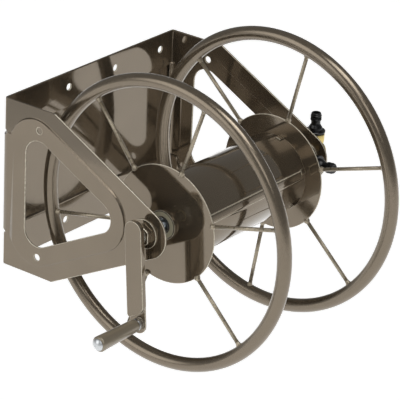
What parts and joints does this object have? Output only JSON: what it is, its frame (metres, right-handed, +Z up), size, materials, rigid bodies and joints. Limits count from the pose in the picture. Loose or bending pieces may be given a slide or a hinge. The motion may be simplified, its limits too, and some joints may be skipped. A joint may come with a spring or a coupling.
{
  "type": "wall mounted hose reel",
  "caption": "Wall mounted hose reel: a bent sheet bracket carries a hand-cranked drum between spoked tube wheels, with a brass inlet swivel and hose connectors.",
  "frame": {"origin": "middle of the back plate's face that lies on the wall", "axes": "+Z up, +Y into the wall, +X along the axle towards the water inlet; the crank is at -X"},
  "size_m": [0.5065, 0.464, 0.4199],
  "materials": {
    "bronze_paint": "glossy bronze paint with fine metal flake",
    "zinc_plate": "bright zinc plate",
    "nylon": "natural nylon",
    "brass": "turned brass",
    "black_plastic": "satin black plastic",
    "rubber": "black rubber"
  },
  "bodies": {
    "bracket": {"wall_bracket": "bronze_paint", "crank_side_sleeve": "zinc_plate", "crank_side_liner": "nylon", "crank_side_washer": "bronze_paint", "crank_side_nut": "bronze_paint", "inlet_side_sleeve": "zinc_plate", "inlet_side_liner": "nylon", "inlet_side_washer": "bronze_paint", "inlet_side_nut": "bronze_paint"},
    "reel": {"crank_side_rim": "bronze_paint", "inlet_side_rim": "bronze_paint", "crank_side_spokes": "bronze_paint", "inlet_side_spokes": "bronze_paint", "crank_side_disc": "bronze_paint", "inlet_side_disc": "bronze_paint", "drum_shell": "bronze_paint", "crank_side_tabs": "bronze_paint", "inlet_side_tabs": "bronze_paint", "crank_side_collar": "bronze_paint", "inlet_side_collar": "bronze_paint", "crank_side_bush": "nylon", "inlet_side_bush": "nylon", "axle_tube": "zinc_plate", "crank_spindle": "zinc_plate", "drive_pins": "zinc_plate", "crank_boss": "bronze_paint", "crank_arm": "bronze_paint", "handle_bolt": "zinc_plate", "handle_spacer": "zinc_plate", "handle_washer": "zinc_plate", "handle_nut": "zinc_plate", "outlet_elbow": "brass", "outlet_pin": "zinc_plate", "outlet_seal": "rubber", "outlet_connector": "black_plastic", "outlet_o_ring": "rubber", "water_tube": "brass", "swivel_o_rings": "rubber", "swivel_clip": "zinc_plate"},
    "grip": {"grip": "bronze_paint"},
    "swivel": {"swivel_body": "brass", "swivel_cap": "brass", "inlet_seal": "rubber", "inlet_connector": "black_plastic", "inlet_o_ring": "rubber"}
  },
  "joints": [
    {"name": "reel_spin", "type": "hinge", "parent": "bracket", "child": "reel", "pos_m": [0, -0.254, 0], "axis": [1, 0, 0], "continuous": true},
    {"name": "grip_spin", "type": "hinge", "parent": "reel", "child": "grip", "pos_m": [-0.25, -0.26373, -0.12362], "axis": [1, 0, 0], "continuous": true},
    {"name": "swivel_turn", "type": "hinge", "parent": "bracket", "child": "swivel", "pos_m": [0.201, -0.254, 0], "axis": [1, 0, 0], "continuous": true}
  ]
}
